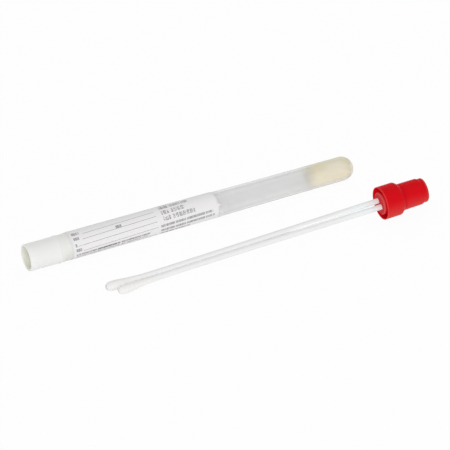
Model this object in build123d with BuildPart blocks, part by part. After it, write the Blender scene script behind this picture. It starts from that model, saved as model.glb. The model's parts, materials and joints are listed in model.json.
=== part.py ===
from build123d import *
import os
from math import asin, cos, radians, sin, tan

# Specimen swab tube: an open transport tube with a round end, lying on its side, and beside
# it the cap that closes it, which carries two swabs on plastic shafts.
# Frame: millimetres, origin on the surface under the middle of the layout, +X from the tube's
# mouth to its round end, +Y from the swabs to the tube, +Z up.

# Tube, measured along its axis from the mouth
tube_length = 158.0
neck_radius = 5.95          # outside of the straight neck that the cap slides over
tube_wall = 0.95
neck_length = 13.2
bead_width = 1.6            # low ring that marks the end of the neck
bead_height = 0.25
draft_angle = 0.22          # taper of the body, on each side
rim_round = 0.3

# Paper label wrapped round the tube, with its ends lapped at the back
label_start = 19.9
label_length = 69.5
label_thickness = 0.10
label_gap = 0.01            # adhesive under the paper
lap_start_angle = 25.0      # from the top towards the back
lap_angle = 45.0

# Foam plug that holds the transport liquid in the round end
foam_length = 21.6
foam_clearance = 0.05
foam_round = 2.5

# Cap, measured along its axis from the rim of its skirt
skirt_wall = 1.35
skirt_rim_wall = 0.3        # what a cone inside the rim leaves of the wall there
skirt_lead = 3.5            # depth of that cone
skirt_rim_round = 0.1
skirt_clearance = 0.1       # skirt over neck, on each side
skirt_length = 9.65
skirt_depth = 7.6
shoulder_length = 1.9
shoulder_round = 1.2
plug_clearance = 0.05       # plug in bore, on each side
plug_stand = 0.45           # how far the plug stands out of the skirt
plug_round = 0.5
handle_radius = 5.97
handle_end_radius = 5.87
handle_length = 11.8
handle_step_length = 1.1
stub_radius = 5.42
stub_length = 1.8
stub_round = 0.4
edge_round = 0.25

# Swabs
shaft_radius = 1.225
socket_depth = 9.0
socket_clearance = 0.01
tip_dip = 2.35              # how far the long swab's tip stands in the foam of the closed tube
tip_stagger = 3.8           # how much shorter the other swab is
tip_length = 15.5
long_tip_radius = 2.15
short_tip_radius = 2.0
tip_widest = 3.4            # from the tip's end to its widest place
tip_neck_cover = 0.12       # fibre on the shaft where the tip begins
tip_end_cover = 2.0         # fibre beyond the end of the shaft
tip_clearance = 0.01

# How the two shafts run beside each other, and how the pair is rolled about the cap's axis
socket_spacing = 3.4
shaft_gap = 0.03            # where the shafts lie together
tip_gap = 0.15              # between the widest places of the tips, which spread the shafts
together_start = 62.0       # from the rim
tip_bend = 22.0             # from the tip's end
tip_droop = 0.26            # how far the tips hang below the cap's axis
bend_share = 0.4            # part of a run that its bend takes up
roll_at_cap = 24.0
roll_together = 24.0
roll_at_bend = 18.0
roll_at_tips = 2.2

# Layout on the surface
axis_spacing = 33.5         # from the tube's axis to the middle of the cap's rim
cap_setback = 3.86          # from the plane of the round end back to the cap's rim
swab_yaw = -1.03            # turn of the cap and swabs away from the tube's direction
rest_gap = 0.06             # under the cap's rim and the short swab's tip

# Tube sizes that follow
taper = tan(radians(draft_angle))
bore_radius = neck_radius - tube_wall
bead_end = neck_length + bead_width
bead_radius = neck_radius + bead_height
end_radius = (neck_radius - (tube_length - bead_end) * taper) / (
    cos(radians(draft_angle)) - (1 - sin(radians(draft_angle))) * taper
)
end_centre = tube_length - end_radius
tube_tilt = asin((bead_radius - end_radius) / (end_centre - bead_end + bead_width / 2))
foam_front = tube_length - tube_wall - foam_length

# Cap and swab sizes that follow
skirt_inner_radius = neck_radius + skirt_clearance
skirt_radius = skirt_inner_radius + skirt_wall
skirt_rim_radius = skirt_radius - skirt_rim_wall
plug_radius = bore_radius - plug_clearance
cap_length = skirt_length + handle_length
long_reach = foam_front - skirt_depth + tip_dip
short_reach = long_reach - tip_stagger
together_spacing = 2 * shaft_radius + shaft_gap
tip_spread = long_tip_radius + short_tip_radius + tip_gap - together_spacing
tip_spacing = together_spacing + tip_spread * tip_bend / (tip_bend - tip_widest)

# Places that follow: the tube rests on its bead and its round end, the cap on the rim of its
# skirt, and the swabs on the tip of the short one
half_length = (tube_length - cap_setback + cap_length) / 2
tube_y = (axis_spacing + skirt_radius - bead_radius) / 2
cap_x = half_length - cap_length
cap_y = tube_y - axis_spacing
tip_rise = tip_spacing / 2 * sin(radians(roll_at_tips))
tip_height = short_tip_radius + rest_gap + tip_rise + tip_droop
swab_pitch = asin((skirt_radius - tip_height) / (short_reach - tip_widest))
cap_height = skirt_radius * cos(swab_pitch) + rest_gap / 2
mouth_height = end_radius + end_centre * sin(tube_tilt)

# Planes whose X runs along the piece's axis and whose Y points up from it
tube_plane = Plane(
    origin=(-half_length, tube_y, mouth_height),
    x_dir=(cos(tube_tilt), 0, -sin(tube_tilt)),
    z_dir=(0, -1, 0),
)
cap_plane = Plane(
    origin=(cap_x, cap_y, cap_height),
    x_dir=(
        cos(swab_pitch) * cos(radians(swab_yaw)),
        cos(swab_pitch) * sin(radians(swab_yaw)),
        sin(swab_pitch),
    ),
    z_dir=(sin(radians(swab_yaw)), -cos(radians(swab_yaw)), 0),
)
tube_axis = Axis(tube_plane.origin, tube_plane.x_dir)
cap_axis = Axis(cap_plane.origin, cap_plane.x_dir)


def body_radius(x):
    """Outside radius of the tube's tapered body at a distance from the mouth."""
    return neck_radius - (x - bead_end) * taper


def round_end(radius):
    """Quarter circle of the tube's round end, down to the axis."""
    return CenterArc((end_centre, 0), radius, 0, 90 - draft_angle)


def round_corner(profile, x, y, radius):
    """Round the corner of a flat profile that is nearest to a point."""
    fillet(profile.vertices().sort_by_distance((x, y, 0))[0], radius)


# ---- Tube ----
with BuildPart() as tube:
    with BuildSketch(tube_plane) as tube_profile:
        with BuildLine():
            outer_end = round_end(end_radius)
            inner_end = round_end(end_radius - tube_wall)
            Line((bead_end, neck_radius), outer_end @ 1)
            ThreePointArc(
                (neck_length, neck_radius),
                (neck_length + bead_width / 2, bead_radius),
                (bead_end, neck_radius),
            )
            Polyline(
                inner_end @ 1,
                (bead_end, bore_radius),
                (0, bore_radius),
                (0, neck_radius),
                (neck_length, neck_radius),
            )
            Line(inner_end @ 0, outer_end @ 0)
        make_face()
        round_corner(tube_profile, 0, bore_radius, rim_round)
        round_corner(tube_profile, 0, neck_radius, rim_round)
    revolve(axis=tube_axis)
tube.part.label = "tube"


# ---- Label ----
def label_section(layers):
    """Corners of the paper's section, so many layers thick, along the tapered body."""
    label_end = label_start + label_length
    inner = label_gap
    outer = label_gap + layers * label_thickness
    return [
        (label_start, body_radius(label_start) + inner),
        (label_start, body_radius(label_start) + outer),
        (label_end, body_radius(label_end) + outer),
        (label_end, body_radius(label_end) + inner),
    ]


lap_plane = Plane(
    origin=tube_plane.origin,
    x_dir=tube_plane.x_dir,
    z_dir=tube_plane.z_dir.rotate(tube_axis, -lap_start_angle - lap_angle),
)
with BuildPart() as label:
    with BuildSketch(tube_plane):
        with BuildLine():
            Polyline(*label_section(1), close=True)
        make_face()
    revolve(axis=tube_axis)
    with BuildSketch(lap_plane):
        with BuildLine():
            Polyline(*label_section(2), close=True)
        make_face()
    revolve(axis=tube_axis, revolution_arc=lap_angle)
label.part.label = "label"

# ---- Foam plug ----
with BuildPart() as foam_plug:
    with BuildSketch(tube_plane) as foam_profile:
        with BuildLine():
            foam_end = round_end(end_radius - tube_wall - foam_clearance)
            foam_front_radius = body_radius(foam_front) - tube_wall - foam_clearance
            Polyline(
                foam_end @ 1,
                (foam_front, foam_front_radius),
                (foam_front, 0),
                foam_end @ 0,
            )
        make_face()
        round_corner(foam_profile, foam_front, foam_front_radius, foam_round)
    revolve(axis=tube_axis)
foam_plug.part.label = "foam_plug"


# ---- Routes of the shafts ----
def beside_axis(distance, spacing, roll, side, droop=0):
    """Point beside the cap's axis, a distance from the rim towards the tips."""
    up = side * spacing / 2 * sin(radians(roll)) - droop
    back = side * spacing / 2 * cos(radians(roll))
    return cap_plane.from_local_coords(Vector(-distance, up, -back))


def route_points(reach, side):
    """Socket, two bends and tip's end of one shaft: side is 1 at the back, -1 in front."""
    return [
        beside_axis(-socket_depth, socket_spacing, roll_at_cap, side),
        beside_axis(together_start, together_spacing, roll_together, side),
        beside_axis(reach - tip_bend, together_spacing, roll_at_bend, side),
        beside_axis(reach, tip_spacing, roll_at_tips, side, tip_droop),
    ]


def bend_radius(before, corner, after):
    """Radius of a bend that takes up its share of the shorter run beside it."""
    run_in = corner - before
    run_out = after - corner
    half_turn = radians(run_in.get_angle(run_out)) / 2
    return bend_share * min(run_in.length, run_out.length) / tan(half_turn)


def shaft_points(points):
    """The route's points, with the last one at the end of the shaft inside the tip."""
    last_run = (points[3] - points[2]).normalized()
    return points[:3] + [points[3] - last_run * tip_end_cover]


def shaft_bends(points):
    """Radii of the two gentle bends of a shaft."""
    return [bend_radius(*points[0:3]), bend_radius(*points[1:4])]


swab_routes = {
    "long": route_points(long_reach, 1),
    "short": route_points(short_reach, -1),
}
tip_radii = {"long": long_tip_radius, "short": short_tip_radius}

# ---- Cap ----
with BuildPart() as cap:
    with BuildSketch(cap_plane) as cap_profile:
        with BuildLine():
            Polyline(
                (-plug_stand, 0),
                (-plug_stand, plug_radius),
                (skirt_depth, plug_radius),
                (skirt_depth, skirt_inner_radius),
                (skirt_lead, skirt_inner_radius),
                (0, skirt_rim_radius),
                (0, skirt_radius),
                (skirt_length - shoulder_length, skirt_radius),
                (skirt_length, handle_radius),
                (cap_length - stub_length - handle_step_length, handle_end_radius),
                (cap_length - stub_length, stub_radius),
                (cap_length, stub_radius),
                (cap_length, 0),
                close=True,
            )
        make_face()
        round_corner(cap_profile, -plug_stand, plug_radius, plug_round)
        round_corner(cap_profile, 0, skirt_rim_radius, skirt_rim_round)
        round_corner(cap_profile, 0, skirt_radius, skirt_rim_round)
        round_corner(cap_profile, skirt_length - shoulder_length, skirt_radius, shoulder_round)
        round_corner(cap_profile, skirt_length, handle_radius, edge_round)
        round_corner(cap_profile, cap_length, stub_radius, stub_round)
    revolve(axis=cap_axis)
    for points in swab_routes.values():
        with BuildSketch(Plane(origin=points[0], z_dir=points[1] - points[0])):
            Circle(shaft_radius + socket_clearance)
        extrude(amount=socket_depth + 2 * plug_stand, mode=Mode.SUBTRACT)
cap.part.label = "cap"


# ---- Swabs ----
def tip_plane(points):
    """Plane at the root of a tip, with X along the last run of its shaft."""
    run = (points[3] - points[2]).normalized()
    return Plane(origin=points[3] - run * tip_length, x_dir=run, z_dir=run.cross(Vector(0, 0, 1)))


# Half section of a bud-shaped tip, with the blind bore that its shaft fills
tip_bore = shaft_radius + tip_clearance
tip_bore_end = tip_length - tip_end_cover + tip_clearance
root = (0, shaft_radius + tip_neck_cover)
tip_end = (tip_length, 0)
bore_points = [(0, tip_bore), (tip_bore_end, tip_bore), (tip_bore_end, 0)]

os.makedirs("parts", exist_ok=True)
for swab, points in swab_routes.items():
    shaft_route = shaft_points(points)
    with BuildPart() as shaft:
        with BuildLine() as shaft_path:
            FilletPolyline(*shaft_route, radius=shaft_bends(shaft_route))
        with BuildSketch(Plane(origin=shaft_path.line @ 0, z_dir=shaft_path.line % 0)):
            Circle(shaft_radius)
        sweep()
    shaft.part.label = f"{swab}_shaft"
    export_step(shaft.part, f"parts/{swab}_shaft.step")

    root_plane = tip_plane(points)
    with BuildPart() as tip:
        with BuildSketch(root_plane):
            with BuildLine():
                widest = (tip_length - tip_widest, tip_radii[swab])
                Spline(root, widest, tip_end, tangents=((1, 0), (0, -1)))
                Polyline(root, *bore_points, tip_end)
            make_face()
        revolve(axis=Axis(root_plane.origin, root_plane.x_dir))
    tip.part.label = f"{swab}_tip"
    export_step(tip.part, f"parts/{swab}_tip.step")

# ---- Files of the other pieces ----
export_step(tube.part, "parts/tube.step")
export_step(label.part, "parts/label.step")
export_step(foam_plug.part, "parts/foam_plug.step")
export_step(cap.part, "parts/cap.step")
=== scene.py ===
"""A capped specimen swab tube, taken apart: the labelled tube lies behind its cap and two swabs."""

import json
from math import atan2, ceil, cos, pi, radians, sin, tan

import bmesh
import bpy
from mathutils import Matrix, Vector, noise


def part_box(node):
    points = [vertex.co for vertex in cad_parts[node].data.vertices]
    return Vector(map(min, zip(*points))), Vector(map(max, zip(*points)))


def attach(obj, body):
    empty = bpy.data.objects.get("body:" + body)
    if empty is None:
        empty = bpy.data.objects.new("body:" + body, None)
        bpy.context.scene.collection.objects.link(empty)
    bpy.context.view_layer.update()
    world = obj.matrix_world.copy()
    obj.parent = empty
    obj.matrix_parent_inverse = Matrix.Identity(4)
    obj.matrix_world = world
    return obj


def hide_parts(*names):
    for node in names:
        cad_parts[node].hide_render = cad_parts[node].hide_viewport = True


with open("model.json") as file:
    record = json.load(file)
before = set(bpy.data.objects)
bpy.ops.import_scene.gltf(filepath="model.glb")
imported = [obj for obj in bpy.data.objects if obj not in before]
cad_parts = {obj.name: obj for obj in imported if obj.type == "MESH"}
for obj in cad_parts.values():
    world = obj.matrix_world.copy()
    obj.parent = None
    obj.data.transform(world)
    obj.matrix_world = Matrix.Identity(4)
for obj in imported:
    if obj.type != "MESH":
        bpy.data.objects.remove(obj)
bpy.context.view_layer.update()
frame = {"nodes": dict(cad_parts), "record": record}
nodes = frame["nodes"]
MM = 0.001  # lengths below are in millimetres

# The tube, measured along its axis from the mouth
NECK_RADIUS = 5.95
BEAD_END = 14.8
DRAFT = tan(radians(0.22))
WALL = 0.95
END_RADIUS = 5.4  # outside of the round end, near enough for its colours
SIGHT_DEPTH = 3.9  # as far as the mouth is seen into from the front

# The label, cut as a rectangle with round corners and wrapped a little askew
LABEL_START = 19.0
LABEL_SIZE = Vector((70.4, 42.1))  # along the tube, round it
LABEL_CORNER = 2.2
LABEL_ASKEW = radians(1.35)
LABEL_FIRST_ANGLE = radians(-70)  # of the edge underneath, from the top towards the front
LABEL_MARGIN = 0.9  # from the paper's edge to where the print is measured from
SPECK = 0.1  # of ink, at the place that the print is measured from
LABEL_STRIPS = (3.0, 0.3)  # that the paper is cut into along and round the tube, to bend
PAPER = 0.1
GLUE = 0.01
LAP_RISE = 0.8  # of paper, climbing on to the edge underneath
TAB_CENTRE, TAB_WIDTH, TAB_LENGTH = 14.9, 0.8, 1.2  # a nick of paper left on the far edge
TAB_NARROWING = 0.6

# The foam plug
FOAM_LENGTH = 21.6
FOAM_CLEARANCE = 0.05
FOAM_ROUNDING = 3.4  # of the edge of its front
FOAM_STEP = 0.24
PORES_EACH_MM, PORE_EDGE, PORE_DEPTH = 1.5, 0.5, 0.16
HOLLOWS_EACH_MM, HOLLOW_DEPTH = 0.35, 0.1

# The cap, measured from the middle of its rim along its axis, which has a turn and a rise
CAP_RIM = (66.345, -16.15, 7.42)
CAP_YAW, CAP_PITCH = radians(-1.03), radians(2.325)
SKIRT_RADIUS, SKIRT_DEPTH = 7.4, 7.6
PLUG_RADIUS = 4.95
END_STEP = 20.3

# The fibre tips, measured from the end of the tip
TIP_LENGTH = 15.5
TIP_WIDEST = 3.4
TIP_NECK = 1.3  # least radius past the widest place
TIP_STEP = 0.16
TIP_END = 0.8  # length of the shaded end
TIP_PROFILE = [
    (0, 0),
    (0.1, 0.72),
    (0.45, 1.32),
    (1.1, 1.76),
    (2.0, 2.04),
    (3.2, 2.14),
    (4.4, 2.12),
    (5.8, 2.02),
    (7.8, 1.85),
    (10.1, 1.64),
    (12.5, 1.45),
    (14.6, 1.36),
    (15.4, 1.3),
    (15.5, 0),
]
WINDINGS = ((1.9, 1), (2.9, -1))  # pitch and hand
WINDING_SPREAD, WINDING_CHANGE = 1.9, 0.5  # how fast the strands differ round and along
WINDING_HEIGHT, LUMP_HEIGHT, TIP_SINK = 0.055, 0.05, 0.035
LUMPS_EACH_MM = 0.45

# Sockets of the Mix node that go by number, because their names repeat
MIX_FIRST, MIX_SECOND, MIX_RESULT = 6, 7, 2


class Value:
    """A socket of some nodes. Arithmetic on it adds Math nodes."""

    def __init__(self, owner, socket):
        self.owner, self.socket = owner, socket

    def math(self, operation, *others):
        return self.owner.math(operation, self, *others)

    def __add__(self, other):
        return self.math("ADD", other)

    def __sub__(self, other):
        return self.math("SUBTRACT", other)

    def __mul__(self, other):
        return self.math("MULTIPLY", other)

    def __truediv__(self, other):
        return self.math("DIVIDE", other)

    def __rsub__(self, other):
        return self.owner.math("SUBTRACT", other, self)

    def __rtruediv__(self, other):
        return self.owner.math("DIVIDE", other, self)

    def __lt__(self, other):
        return self.math("LESS_THAN", other)

    def __gt__(self, other):
        return self.math("GREATER_THAN", other)

    def __abs__(self):
        return self.math("ABSOLUTE")

    def __pow__(self, other):
        return self.math("POWER", other)

    __radd__, __rmul__ = __add__, __mul__

    def floor(self):
        return self.math("FLOOR")

    def fraction(self):
        return self.math("FRACT")

    def larger(self, other):
        return self.math("MAXIMUM", other)

    def rise(self, start, end, low=0.0, high=1.0):
        """Low before start and high after end, with a smooth change between."""
        return self.owner.make(
            "ShaderNodeMapRange",
            {"interpolation_type": "SMOOTHSTEP"},
            {
                "Value": self,
                "From Min": start,
                "From Max": end,
                "To Min": low,
                "To Max": high,
            },
        )

    def fall(self, start, end, high=1.0):
        """High before start and 0 after end, with a smooth change between."""
        return self.rise(start, end, high, 0.0)


class Nodes:
    """An emptied node tree, and the nodes that are made in it."""

    def __init__(self, tree):
        self.tree = tree
        self.tree.nodes.clear()

    def fill(self, socket, value):
        """Put a plain value on a socket, or link a Value to it."""
        if isinstance(value, Value):
            self.tree.links.new(value.socket, socket)
        elif hasattr(socket.default_value, "__len__") and len(value) == 3:
            size = len(socket.default_value)
            socket.default_value = tuple(value) + (1.0,) * (size - 3)
        else:
            socket.default_value = value

    def add(self, kind, settings=None, values=None):
        """Any node: its settings first, then the values or links of its sockets."""
        node = self.tree.nodes.new(kind)
        for name, setting in (settings or {}).items():
            setattr(node, name, setting)
        for name, value in (values or {}).items():
            self.fill(node.inputs[name], value)
        return node

    def make(self, kind, settings=None, values=None, output=0):
        """One output of a new node."""
        return Value(self, self.add(kind, settings, values).outputs[output])

    def math(self, operation, *values):
        return self.make(
            "ShaderNodeMath", {"operation": operation}, dict(enumerate(values))
        )

    def vector(self, operation, *values, **named):
        sockets = dict(enumerate(values)) | named
        return self.make("ShaderNodeVectorMath", {"operation": operation}, sockets)

    def parts(self, vector):
        """The three numbers of a vector."""
        split = self.add("ShaderNodeSeparateXYZ", values={0: vector})
        return [Value(self, socket) for socket in split.outputs]

    def join(self, *numbers):
        return self.make("ShaderNodeCombineXYZ", values=dict(enumerate(numbers)))


class Finish(Nodes):
    """A material, made from one Principled shader and the nodes that feed it."""

    def __init__(self, name, **constants):
        self.material = bpy.data.materials.new(name)
        self.material.use_nodes = True
        super().__init__(self.material.node_tree)
        self.surface = self.make("ShaderNodeBsdfPrincipled")
        self.output = self.add("ShaderNodeOutputMaterial", values={"Surface": self.surface})
        self.set(**constants)

    def place(self):
        """The point of the surface, in millimetres in the shared frame."""
        point = self.make("ShaderNodeTexCoord", output="Object")
        return self.vector("SCALE", point, Scale=1 / MM)

    def attribute(self, name):
        """A number that the mesh carries at its corners."""
        return self.make("ShaderNodeAttribute", {"attribute_name": name}, output="Fac")

    def noise(self, point, scale, detail=2.0, roughness=0.5, stretch=None):
        """Noise from 0 to 1, with scale in cells for each millimetre."""
        if stretch:
            point = self.vector("MULTIPLY", point, stretch)
        values = {"Vector": point, "Scale": scale, "Detail": detail, "Roughness": roughness}
        return self.make("ShaderNodeTexNoise", values=values, output="Fac")

    def cells(self, point, scale):
        """Distance to the nearest of scattered points."""
        values = {"Vector": point, "Scale": scale}
        return self.make("ShaderNodeTexVoronoi", {"feature": "F1"}, values, "Distance")

    def chance(self, *numbers):
        """A number from 0 to 1 that is the same wherever the given whole numbers are."""
        point = self.join(*numbers)
        return self.make("ShaderNodeTexWhiteNoise", {"noise_dimensions": "3D"}, {0: point}, "Value")

    def mix(self, share, first, second):
        """From the first colour to the second, by a share from 0 to 1."""
        values = {"Factor": share, MIX_FIRST: first, MIX_SECOND: second}
        return self.make("ShaderNodeMix", {"data_type": "RGBA"}, values, MIX_RESULT)

    def bump(self, height, distance, strength=1.0):
        """Feed the shader's normal with a height, its full step being so many millimetres."""
        values = {"Height": height, "Distance": distance * MM, "Strength": strength}
        self.set(Normal=self.make("ShaderNodeBump", values=values))

    def set(self, **sockets):
        """Put plain values on the shader's sockets, or link Values to them."""
        for name, value in sockets.items():
            self.fill(self.surface.socket.node.inputs[name.replace("_", " ")], value)

    def wear(self, *pieces):
        """Give the finish to pieces, in place of any they had."""
        for piece in pieces:
            piece.data.materials.clear()
            piece.data.materials.append(self.material)


def body_radius(along):
    """Outside radius of the tube's tapered body."""
    return NECK_RADIUS - max(along - BEAD_END, 0) * DRAFT


# ---- Where the tube lies ----
tube_low, tube_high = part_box("tube")
bore = next(m for m in frame["record"]["mounts"] if m["name"] == "neck_bore")
tube_direction = -Vector(bore["axis"])
tube_turn = tube_direction.to_track_quat("X", "Z").to_matrix().to_4x4()
tube_length = (tube_high.x - tube_low.x) / tube_direction.x / MM
mouth = Vector(bore["pos_m"]) + tube_direction * (
    (tube_low.x - bore["pos_m"][0]) / tube_direction.x
)
tube_place = Matrix.Translation(mouth) @ tube_turn @ Matrix.Scale(MM, 4)


def finish_piece(model, name, place, body, stands_for):
    """Place a bmesh made in millimetres along the X axis, attach it to its body, and hide the part
    it stands for.
    """
    model.transform(place)
    mesh = bpy.data.meshes.new(name)
    model.to_mesh(mesh)
    model.free()
    mesh.shade_smooth()
    piece = bpy.data.objects.new(name, mesh)
    bpy.context.scene.collection.objects.link(piece)
    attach(piece, body)
    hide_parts(stands_for)
    return piece


def lathe(profile, step):
    """Closed solid of revolution about X: the profile starts and ends on the axis."""
    solid = bmesh.new()
    corners = [solid.verts.new((x, 0, y)) for x, y in profile]
    for pair in zip(corners, corners[1:]):
        solid.edges.new(pair)
    while long_edges := [e for e in solid.edges if e.calc_length() > step]:
        bmesh.ops.subdivide_edges(solid, edges=long_edges, cuts=1)
    widest = max(y for x, y in profile)
    bmesh.ops.spin(
        solid,
        geom=solid.verts[:] + solid.edges[:],
        axis=(1, 0, 0),
        cent=(0, 0, 0),
        angle=2 * pi,
        steps=ceil(2 * pi * widest / step),
        use_merge=True,
    )
    bmesh.ops.remove_doubles(solid, verts=solid.verts, dist=step * 0.02)
    bmesh.ops.recalc_face_normals(solid, faces=solid.faces)
    return solid


def arc(x, y, radius, start, end, count):
    """Points of an arc, with angles in degrees from +X."""
    angles = [radians(start + (end - start) * i / count) for i in range(count + 1)]
    return [(x + radius * cos(a), y + radius * sin(a)) for a in angles]


# ---- Label ----
def wrap(point):
    """Where a point of the flat paper goes on the tube, with the last part lapped over."""
    along = LABEL_START + point.x * cos(LABEL_ASKEW) + point.y * sin(LABEL_ASKEW)
    radius = body_radius(along) + GLUE
    turned = point.y * cos(LABEL_ASKEW) - point.x * sin(LABEL_ASKEW)
    over = turned - 2 * pi * NECK_RADIUS
    climb = min(max((over + LAP_RISE) / LAP_RISE, 0), 1)
    radius += (PAPER + GLUE) * climb * climb * (3 - 2 * climb)
    angle = LABEL_FIRST_ANGLE + turned / NECK_RADIUS
    return Vector((along, -radius * sin(angle), radius * cos(angle)))


def under_tab(edge):
    """Whether an edge of the flat paper is where the tab grows from."""
    ends = [v.co for v in edge.verts]
    on_far_side = all(end.x > LABEL_SIZE.x - 0.01 for end in ends)
    return on_far_side and abs((ends[0].y + ends[1].y) / 2 - TAB_CENTRE) < TAB_WIDTH / 2


def cut_label():
    """The flat paper with its tab, in strips narrow enough to wrap."""
    paper = bmesh.new()
    size = LABEL_SIZE
    flat = [(0, 0), (size.x, 0), (size.x, size.y), (0, size.y)]
    corners = [paper.verts.new((x, y, 0)) for x, y in flat]
    paper.faces.new(corners)
    bmesh.ops.bevel(
        paper,
        geom=corners,
        offset=LABEL_CORNER,
        offset_type="OFFSET",
        affect="VERTICES",
        segments=6,
        profile=0.5,
        material=-1,
    )
    for axis, strip in enumerate(LABEL_STRIPS):
        normal = Vector((1 - axis, axis, 0))
        for i in range(1, int(size[axis] / strip) + 1):
            bmesh.ops.bisect_plane(
                paper,
                geom=paper.verts[:] + paper.edges[:] + paper.faces[:],
                plane_co=normal * strip * i,
                plane_no=normal,
            )
    near = [e for e in paper.edges if under_tab(e)]
    tab = bmesh.ops.extrude_edge_only(paper, edges=near)["geom"]
    tab_verts = [g for g in tab if isinstance(g, bmesh.types.BMVert)]
    bmesh.ops.translate(paper, verts=tab_verts, vec=(TAB_LENGTH, 0, 0))
    bmesh.ops.scale(
        paper,
        verts=tab_verts,
        vec=(1, TAB_NARROWING, 1),
        space=Matrix.Translation((0, -TAB_CENTRE, 0)),
    )
    return paper


def make_label():
    paper = cut_label()
    print_map = paper.loops.layers.uv.new("paper")
    for face in paper.faces:
        for loop in face.loops:
            loop[print_map].uv = loop.vert.co.xy
    for vert in paper.verts:
        vert.co = wrap(vert.co)
    bmesh.ops.recalc_face_normals(paper, faces=paper.faces)
    half_way = LABEL_START + LABEL_SIZE.x / 2
    middle = min(paper.faces, key=lambda f: abs(f.calc_center_median().x - half_way))
    if middle.normal.yz.dot(middle.calc_center_median().yz) < 0:
        bmesh.ops.reverse_faces(paper, faces=paper.faces)
    piece = finish_piece(paper, "paper_label", tube_place, "transport_tube", "label")
    thickness = piece.modifiers.new("paper", "SOLIDIFY")
    thickness.thickness = PAPER * MM
    thickness.offset = 1
    return piece


# ---- Foam plug ----
def make_foam():
    inset = WALL + FOAM_CLEARANCE
    end_radius = (NECK_RADIUS - (tube_length - BEAD_END) * DRAFT) / (1 - DRAFT) - inset
    end_centre = tube_length - inset - end_radius
    front = tube_length - WALL - FOAM_LENGTH
    front_radius = body_radius(front) - inset
    edge = (front + FOAM_ROUNDING, front_radius - FOAM_ROUNDING)
    profile = [(front, 0)]
    profile += arc(*edge, FOAM_ROUNDING, 180, 90, 10)
    profile += arc(end_centre, 0, end_radius, 90, 0, 16)
    solid = lathe(profile, FOAM_STEP)
    depths = solid.verts.layers.float.new("depth")
    solid.normal_update()
    for vert in solid.verts:
        nearest, second = noise.voronoi(vert.co * PORES_EACH_MM)[0][:2]
        inner = min((second - nearest) / PORE_EDGE, 1)
        dent = PORE_DEPTH * (1 - (1 - inner) ** 2)
        dent += HOLLOW_DEPTH * noise.noise(vert.co * HOLLOWS_EACH_MM)
        vert[depths] = inner
        vert.co -= vert.normal * max(dent, 0)
    piece = finish_piece(solid, "foam_insert", tube_place, "transport_tube", "foam_plug")
    return piece


# ---- Fibre tips ----
def tip_line(node):
    """End of a tip and the direction from it along the shaft."""
    points = [v.co / MM for v in nodes[node].data.vertices]
    end = min(p.x for p in points)

    def middle(start, stop):
        near = [p for p in points if start <= p.x - end <= stop]
        low = Vector(min(p[i] for p in near) for i in range(3))
        high = Vector(max(p[i] for p in near) for i in range(3))
        return (low + high) / 2

    widest = middle(TIP_WIDEST - 0.5, TIP_WIDEST + 0.5)
    root = middle(TIP_LENGTH - 0.5, TIP_LENGTH + 1)
    direction = (root - widest).normalized()
    return widest - direction * TIP_WIDEST, direction


def tip_profile(fullness):
    """The profile made thicker or thinner, but never thinner than the shaft needs."""
    for x, radius in TIP_PROFILE:
        over_shaft = x >= TIP_WIDEST and radius > 0
        yield x, max(radius * fullness, TIP_NECK if over_shaft else 0)


def make_tip(swab, fullness, end_shade, seed):
    node = f"{swab}_tip"
    end, direction = tip_line(node)
    solid = lathe(list(tip_profile(fullness)), TIP_STEP)
    strands = solid.verts.layers.float.new("strand_and_end_shade")
    solid.normal_update()
    for vert in solid.verts:
        along, angle = vert.co.x, atan2(vert.co.z, vert.co.y)
        height = 0.0
        for pitch, hand in WINDINGS:
            turn = 2 * pi * along / pitch + hand * angle
            at = (
                WINDING_SPREAD * cos(turn),
                WINDING_SPREAD * sin(turn),
                along * WINDING_CHANGE + seed + pitch,
            )
            height += noise.noise(Vector(at)) * 0.5
        lump = noise.noise(vert.co * LUMPS_EACH_MM + Vector((seed, 0, 0)))
        # painted shade: the value drops towards the end of the tip, which greys it there
        vert[strands] = 0.5 + height - end_shade * max(1 - along / TIP_END, 0)
        ease = min(along / 1.2, 1) * min((TIP_LENGTH - along) / 0.6, 1)
        push = WINDING_HEIGHT * height + LUMP_HEIGHT * lump - TIP_SINK
        vert.co += vert.normal * push * ease
    turn = direction.to_track_quat("X", "Z").to_matrix().to_4x4()
    place = Matrix.Scale(MM, 4) @ Matrix.Translation(end) @ turn
    return finish_piece(solid, f"{swab}_fibre", place, "capped_swabs", node)


label = make_label()
foam = make_foam()
fibres = [
    make_tip("long", fullness=1.0, end_shade=1.5, seed=3.0),
    make_tip("short", fullness=0.93, end_shade=0.9, seed=11.0),
]


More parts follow.
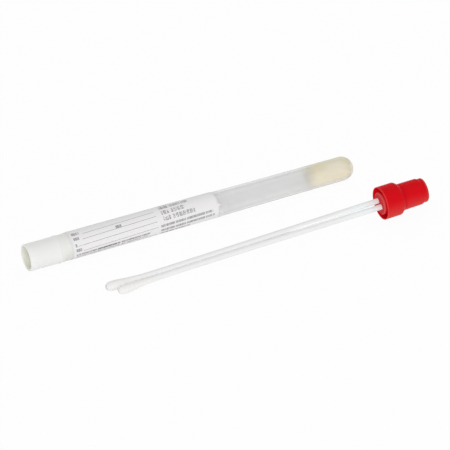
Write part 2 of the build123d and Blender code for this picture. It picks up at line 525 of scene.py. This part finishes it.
# ---- Finishes ----
def tube_finish():
    """Milky plastic. Tints by place stand in for the light that passes through it, and some are
    painted light and shade: painted shade inside the mouth and on the foam's top, painted light low
    down, along the top edge, on the bare tube's top and under the foam, and a painted highlight on
    the foam.
    """
    finish = Finish("frosted_plastic", IOR=1.49, Specular_IOR_Level=0.3)
    place = finish.place()
    x, y, z = finish.parts(finish.vector("SUBTRACT", place, tuple(mouth / MM)))
    along = x / tube_direction.x
    height = z - x * (tube_direction.z / tube_direction.x)  # over the axis
    beyond = (along - (tube_length - END_RADIUS)).larger(0)
    radius = (y ** 2 + height ** 2 + beyond ** 2) ** 0.5
    inside = radius < NECK_RADIUS - WALL + 0.2
    neck = along.fall(20, 27)
    label_end = along.rise(85, 86) * along.fall(89, 94)
    foam_part = along.rise(132, 139.5)
    cloud = finish.noise(place, 0.12, 3, 0.55)
    flow = finish.noise(place, 0.9, 3, 0.6, (0.12, 1, 1))
    patch = finish.noise(place, 0.2, 2, 0.5)
    grain = finish.noise(place, 6.0, 3, 0.6)

    body = finish.mix(cloud * 0.6 + flow * 0.3, (0.73, 0.735, 0.73), (0.67, 0.675, 0.67))
    # painted light: a paler band below the axis, for the light from the floor
    painted_floor_light = height.rise(-3.4, -1.4) * height.fall(-0.5, 2.5)
    body = finish.mix(painted_floor_light, body, (0.83, 0.835, 0.83))
    # painted light: paler along the top edge, where light comes through the wall
    body = finish.mix(height.rise(4.8, 5.4), body, (0.79, 0.795, 0.79))

    foam_tint = finish.mix(patch.rise(0.35, 0.65), (0.94, 0.89, 0.70), (0.97, 0.93, 0.75))
    # painted light: paler on the underside of the foam
    foam_tint = finish.mix(height.fall(-3, 0), foam_tint, (0.98, 0.97, 0.89))
    # painted shade: a darker yellow along the top of the foam
    painted_foam_top_shade = height.rise(2.8, 4.8)
    foam_tint = finish.mix(painted_foam_top_shade, foam_tint, (0.835, 0.765, 0.52))
    # painted highlight: a paler patch on the front of the foam
    painted_foam_highlight = along.rise(140, 147) * along.fall(149, 155)
    painted_foam_highlight *= height.rise(0.5, 2.5) * y.fall(-2.0, 1.5)
    foam_tint = finish.mix(painted_foam_highlight * 0.5, foam_tint, (0.99, 0.955, 0.84))
    body = finish.mix(foam_part * 0.8, body, foam_tint)

    # painted light: the bare tube paler towards its top
    bare_tint_lit_top = finish.mix(height.rise(-1, 3.5), (0.79, 0.785, 0.76), (0.87, 0.865, 0.835))
    neck_tint = finish.mix(along.rise(14, 17), (0.89, 0.89, 0.885), bare_tint_lit_top)
    # painted shade: inside the mouth, darker and yellower deeper in; paler low down near the rim,
    # painted light
    deep = finish.mix(along.rise(1.2, SIGHT_DEPTH), (0.91, 0.915, 0.87), (0.55, 0.53, 0.34))
    deep = finish.mix(height.fall(-4.6, 0.5, 0.9), deep, (0.99, 0.985, 0.90))
    neck_tint = finish.mix(inside, neck_tint, deep)
    finish.set(Base_Color=finish.mix(neck, body, neck_tint))

    cover = (neck * 0.56).larger(label_end * 0.4)
    shell = (foam_part * painted_foam_top_shade).larger(beyond.rise(1, 4)) * 0.25
    finish.set(Alpha=0.36 + cover.larger(shell) + foam_part * 0.22 + (cloud - 0.5) * 0.06)
    finish.set(Roughness=0.36 + grain * 0.16)
    finish.bump(grain * 0.6 + flow * 0.4, 0.02, 0.6)
    return finish


def label_finish():
    """White paper with a form: rules, and strokes or dots where small words would be."""
    finish = Finish("printed_paper", IOR=1.46)
    u, v, _ = finish.parts(finish.make("ShaderNodeUVMap", {"uv_map": "paper"}))
    u = u - LABEL_MARGIN
    across = v + LABEL_FIRST_ANGLE * NECK_RADIUS

    def inside(start, end, centre, height):
        far = abs(u - (start + end) / 2) / ((end - start) / 2)
        high = abs(across - centre) / (height / 2)
        return far.larger(high) < 1

    def strokes(pitch, seed):
        """Upright strokes of uneven width, like text too small to read."""
        step = u / pitch
        cell = step.floor()
        width = finish.chance(cell, seed) * 0.4 + 0.45
        inked = finish.chance(cell, seed + 7) < 0.93
        return (step.fraction() < width) * inked

    def dots(pitch, seed):
        """Round dots in columns, with some missing and a gap after every five columns."""
        column, row = u / pitch, across / pitch
        far = (column.fraction() - 0.5) ** 2 + (row.fraction() - 0.5) ** 2
        whole = column.floor()
        inked = finish.chance(whole, row.floor(), seed) < 0.7
        lettered = (whole / 6).fraction() < 0.8
        return (far < 0.22) * inked * lettered

    bold, fine = strokes(0.34, 1), strokes(0.26, 2)
    stamped = dots(0.28, 3)
    start = 0.8
    words = [  # from, to, middle, height, pattern, weight
        (start, start + 3.4, 0.85, 1.5, bold, 1),
        (start, start + 2.8, 3.4, 1.35, bold, 1),
        (20.5, 23.5, 3.45, 1.35, bold, 1),
        (start, start + 0.9, 6.23, 1.45, bold, 1),
        (start, start + 2.8, 8.5, 1.45, bold, 1),
        (start, 35.6, 10.95, 0.95, fine, 1),
        (10.7, 19.5, 10.95, 1.05, bold, 1),
        (start, 34.6, 12.3, 0.95, fine, 0.7),
        (start, 39.1, 13.65, 0.95, fine, 0.45),
        (42.7, 48.6, -1.9, 1.3, bold, 0.6),
        (42.7, 46.9, 0.45, 1.9, bold, 0.85),
        (47.4, 56.5, 0.45, 1.9, bold, 0.75),
        (42.7, 46.3, 3.4, 1.96, stamped, 1),
        (47.4, 53.9, 3.4, 1.96, stamped, 1),
        (42.7, 46.3, 6.35, 1.96, stamped, 1),
        (47.4, 58.0, 6.35, 1.96, stamped, 1),
        (40.9, 66.1, 9.3, 1.2, bold, 0.9),
        (40.9, 66.7, 11.5, 1.25, bold, 0.9),
        (40.9, 55.1, 13.7, 1.2, bold, 0.9),
    ]
    rules = [(5.7, 1.75), (4.7, 4.2), (2.0, 6.7), (4.0, 9.3)]  # from, middle
    rules_end, rule_height, rule_weight = 39.7, 0.18, 0.85
    marks = [
        inside(first, last, centre, height) * pattern * weight
        for first, last, centre, height, pattern, weight in words
    ]
    marks += [
        inside(first, rules_end, centre, rule_height) * rule_weight for first, centre in rules
    ]
    ink = inside(0, SPECK, 0, SPECK)
    for mark in marks:
        ink = ink.larger(mark)
    fibre = finish.noise(finish.place(), 3.0, 4, 0.65)
    paper = finish.mix(fibre, (0.815, 0.80, 0.806), (0.86, 0.848, 0.853))
    finish.set(Base_Color=finish.mix(ink * 0.87, paper, (0.09, 0.08, 0.1)))
    finish.set(Roughness=0.5 + fibre * 0.15 - ink * 0.1)
    finish.bump(fibre, 0.012, 0.5)
    return finish


def foam_finish():
    finish = Finish("open_cell_foam", IOR=1.4)
    place = finish.place()
    patch = finish.noise(place, 0.16, 3, 0.5)
    colour = finish.mix(patch.rise(0.3, 0.7), (0.92, 0.82, 0.54), (0.97, 0.91, 0.68))
    pores = finish.cells(place, 2.4)
    # painted shade: darker in the pores
    shade = finish.attribute("depth") * 0.1 + pores * 0.2
    finish.set(Base_Color=finish.mix(shade, colour, (0.6, 0.5, 0.3)))
    finish.set(Roughness=0.8 + pores * 0.3)
    finish.bump(pores, 0.2, 0.8)
    return finish


def from_cap_rim(finish, place):
    """How far a point is along the cap's axis from the rim, and how far from the axis."""
    x, y, z = finish.parts(finish.vector("SUBTRACT", place, CAP_RIM))
    across, up = y - x * tan(CAP_YAW), z - x * tan(CAP_PITCH)
    return x, (across ** 2 + up ** 2) ** 0.5


def cap_finish():
    """Red plastic, paler low down as a painted reflection of the floor and on its rims as a painted
    highlight, greyer on the handle's end as a painted reflection, darker at the handle's root and
    on the plug as painted shade, with a deep red groove brightened by painted light.
    """
    finish = Finish("red_moulded_plastic", IOR=1.5, Specular_IOR_Level=0.03)
    place = finish.place()
    height = finish.parts(place)[2]
    x, radius = from_cap_rim(finish, place)
    groove = (radius < SKIRT_RADIUS - 0.15) * (x > 0.15) * (x < SKIRT_DEPTH + 0.3)
    # painted highlight: a paler red on the rim's edge
    rim = (radius > SKIRT_RADIUS - 0.5) * x.fall(0.1, 0.4, 0.5)
    plug = (radius < PLUG_RADIUS + 0.25) * (x < 0.3)
    painted_plug_edge_highlight = radius > PLUG_RADIUS - 0.45
    # painted shade: darker red at the handle's root, on its upper side
    painted_root_shade = x.rise(8.4, 9.3) * x.fall(9.8, 10.8) * height.rise(2.5, 6)
    cloud = finish.noise(place, 0.25, 3, 0.5)
    grain = finish.noise(place, 5.0, 4, 0.6)
    upper = finish.mix(cloud, (0.62, 0.003, 0.008), (0.69, 0.006, 0.012))
    # painted reflection: a paler, greyer red low down, for the floor reflected in the plastic
    painted_floor_reflection = finish.mix(cloud, (0.66, 0.042, 0.042), (0.71, 0.056, 0.054))
    colour = finish.mix(height.rise(3.5, 12), painted_floor_reflection, upper)
    # painted reflection: a greyer red on the handle's end past the step
    colour = finish.mix((x > END_STEP) * 0.6, colour, (0.58, 0.055, 0.045))
    # painted highlight on the rim
    colour = finish.mix(rim, colour, (0.76, 0.07, 0.07))
    colour = finish.mix(painted_root_shade * 0.5, colour, (0.56, 0.002, 0.008))
    # painted shade on the plug's face inside the skirt, with a painted highlight on its edge
    plug_shade_and_highlight = finish.mix(painted_plug_edge_highlight * 0.45, (0.61, 0.02, 0.025), (0.78, 0.17, 0.17))
    colour = finish.mix(plug, colour, plug_shade_and_highlight)
    # painted light: a brighter deep red in the groove, for light coming through the thin red walls
    finish.set(Base_Color=finish.mix(groove, colour, (0.75, 0.003, 0.010)))
    finish.set(Roughness=0.3 + grain * 0.14)
    finish.bump(grain, 0.02, 0.5)
    return finish


def shaft_finish():
    """White plastic, paler where the shafts face each other as painted light, and bluer next to the
    cap, painted against the red light that the cap throws on them.
    """
    finish = Finish("white_shaft_plastic", IOR=1.55, Specular_IOR_Level=0.3)
    place = finish.place()
    x, off_middle = from_cap_rim(finish, place)
    streak = finish.noise(place, 1.6, 3, 0.6, (0.08, 1, 1))
    grain = finish.noise(place, 7.0, 3, 0.6)
    colour = finish.mix(streak, (0.80, 0.80, 0.80), (0.87, 0.875, 0.87))
    # painted light: paler where the shafts face each other, most within 47 mm of the cap
    painted_gap_light = x.rise(-125, -110) * 0.25 + x.rise(-47, -40) * 0.75
    colour = finish.mix(off_middle.fall(0.6, 1.4) * painted_gap_light, colour, (0.98, 0.98, 0.98))
    # painted light: a bluer white next to the cap, set against the red light that the cap throws on
    # them
    colour = finish.mix(x.rise(-25, -8) * 0.6, colour, (0.87, 0.93, 0.95))
    finish.set(Base_Color=colour, Roughness=0.28 + grain * 0.16)
    finish.bump(streak * 0.7 + grain * 0.3, 0.015, 0.5)
    return finish


def fibre_finish():
    """Wound white fibre, greyer at the shaded end of each tip."""
    finish = Finish("spun_fibre", Sheen_Weight=0.25, Sheen_Roughness=0.5, IOR=1.45)
    place = finish.place()
    strand_and_end_shade = finish.attribute("strand_and_end_shade")
    hairs = finish.noise(place, 4.0, 4, 0.7, (3.5, 0.6, 0.6))
    crossed = finish.noise(place, 3.0, 4, 0.7, (1.2, 2.5, 0.5))
    height = hairs * 0.6 + crossed * 0.4
    twist = strand_and_end_shade.rise(0.1, 0.9) * 0.6 + height * 0.4
    colour = finish.mix(twist, (0.82, 0.805, 0.79), (0.91, 0.90, 0.89))
    # painted shade: greyer at the end of each tip, where the value drops
    finish.set(Base_Color=finish.mix(strand_and_end_shade.fall(-0.7, 0, 0.8), colour, (0.66, 0.66, 0.65)))
    finish.set(Roughness=0.85 + height * 0.15)
    finish.bump(height, 0.05, 0.6)
    return finish


tube_finish().wear(nodes["tube"])
label_finish().wear(label)
foam_finish().wear(foam)
cap_finish().wear(nodes["cap"])
shaft_finish().wear(nodes["long_shaft"], nodes["short_shaft"])
fibre_finish().wear(*fibres)
lets_light_through = [nodes[name] for name in ("tube", "cap", "long_shaft", "short_shaft")]
for piece in lets_light_through + fibres:
    piece.visible_shadow = False

# ---- Floor, light and camera, in metres ----
FLOOR_HALF = 3
FLOOR_GAP = 0.00001
FLOOR_GLOW = 0.95  # share of plain white in the floor, where it is seen directly
SKY_LIGHT = 0.79
LAMP_PLACE, LAMP_SIZE, LAMP_POWER = (-0.5, -1.48, 0.2), 1.0, 9.5
CAMERA_PLACE = (-0.46262, -0.936475, 0.772323)
CAMERA_DOWN, CAMERA_ROUND = 36.1747, -26.2922  # degrees
CAMERA_LENS, CAMERA_SENSOR = 238.8, 36
CAMERA_SHIFT = (-0.00722, -0.0076)
CAMERA_NEAR, CAMERA_FAR = 0.05, 20


def seen_directly(owner):
    """1 for rays from the camera, from gloss and through clear plastic, 0 for the rest."""
    camera, gloss, clear = (
        owner.make("ShaderNodeLightPath", output=name)
        for name in ("Is Camera Ray", "Is Glossy Ray", "Is Transmission Ray")
    )
    return camera.larger(gloss).larger(clear)


def make_floor():
    ground = bmesh.new()
    bmesh.ops.create_grid(ground, x_segments=1, y_segments=1, size=FLOOR_HALF)
    bmesh.ops.translate(ground, verts=ground.verts, vec=(0, 0, -FLOOR_GAP))
    mesh = bpy.data.meshes.new("floor")
    ground.to_mesh(mesh)
    ground.free()
    floor = bpy.data.objects.new("floor", mesh)
    bpy.context.scene.collection.objects.link(floor)
    finish = Finish("pale_floor", Base_Color=(0.92, 0.92, 0.92), Roughness=0.9)
    glow = finish.make("ShaderNodeEmission", values={"Color": (1, 1, 1), "Strength": 1.0})
    share = seen_directly(finish) * FLOOR_GLOW
    mixed = finish.make("ShaderNodeMixShader", values={0: share, 1: finish.surface, 2: glow})
    finish.fill(finish.output.inputs["Surface"], mixed)
    finish.wear(floor)


def make_world():
    """White behind the object, and a softer light on it from all round."""
    world = bpy.data.worlds.new("studio")
    bpy.context.scene.world = world
    world.use_nodes = True
    sky = Nodes(world.node_tree)
    strength = seen_directly(sky) * (1 - SKY_LIGHT) + SKY_LIGHT
    light = sky.make("ShaderNodeBackground", values={"Color": (1, 1, 1), "Strength": strength})
    sky.add("ShaderNodeOutputWorld", values={"Surface": light})


def make_lamp():
    """A square soft light that looks at the middle of the object."""
    lamp = bpy.data.lights.new("front_light", "AREA")
    lamp.shape, lamp.size, lamp.energy = "SQUARE", LAMP_SIZE, LAMP_POWER
    holder = bpy.data.objects.new("front_light", lamp)
    holder.location = LAMP_PLACE
    holder.rotation_euler = (-Vector(LAMP_PLACE)).to_track_quat("-Z", "Y").to_euler()
    bpy.context.scene.collection.objects.link(holder)


def make_camera():
    camera = bpy.data.cameras.new("camera")
    camera.lens, camera.sensor_width = CAMERA_LENS, CAMERA_SENSOR
    camera.shift_x, camera.shift_y = CAMERA_SHIFT
    camera.clip_start, camera.clip_end = CAMERA_NEAR, CAMERA_FAR
    viewer = bpy.data.objects.new("camera", camera)
    viewer.location = CAMERA_PLACE
    viewer.rotation_euler = (radians(90 - CAMERA_DOWN), 0, radians(CAMERA_ROUND))
    bpy.context.scene.collection.objects.link(viewer)
    bpy.context.scene.camera = viewer


make_floor()
make_world()
make_lamp()
make_camera()
bpy.context.scene.view_settings.view_transform = "Standard"
